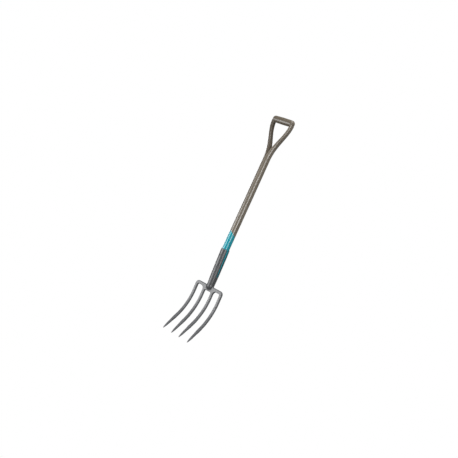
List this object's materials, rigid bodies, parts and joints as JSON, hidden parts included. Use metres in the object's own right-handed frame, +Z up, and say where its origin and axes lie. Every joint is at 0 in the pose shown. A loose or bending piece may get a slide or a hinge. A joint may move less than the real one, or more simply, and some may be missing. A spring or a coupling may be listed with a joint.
{
  "type": "digging fork",
  "caption": "Hand digging fork: curved pointed steel tines on a crossbar, strapped steel socket, round ash shaft split into two bent arms, and a turned cross grip.",
  "frame": {"origin": "on the shaft's axis, halfway up its plain round length between the socket's rim and the start of the split", "axes": "+Z up the shaft towards the cross grip; X across the tines and along the cross grip; the tines curve towards -Y"},
  "size_m": [0.19, 0.1123, 1.1865],
  "materials": {
    "stained_ash": "grey-brown stained and lacquered ash, with a teal lacquered band from the socket upwards",
    "grip_ash": "grey-brown stained and lacquered ash",
    "dowel_beech": "plain",
    "socket_steel": "dark grey powder coat, satin",
    "rivet_steel": "dark grey powder coat, satin",
    "forged_steel": "dark grey powder coat over forged steel, satin",
    "weld_steel": "dark grey powder coat over a weld bead"
  },
  "bodies": {
    "root": {"shaft": "stained_ash", "grip": "grip_ash", "grip_dowels": "dowel_beech", "socket": "socket_steel", "strap_rivets": "rivet_steel", "tine_frame": "forged_steel", "socket_weld": "weld_steel"}
  },
  "joints": []
}
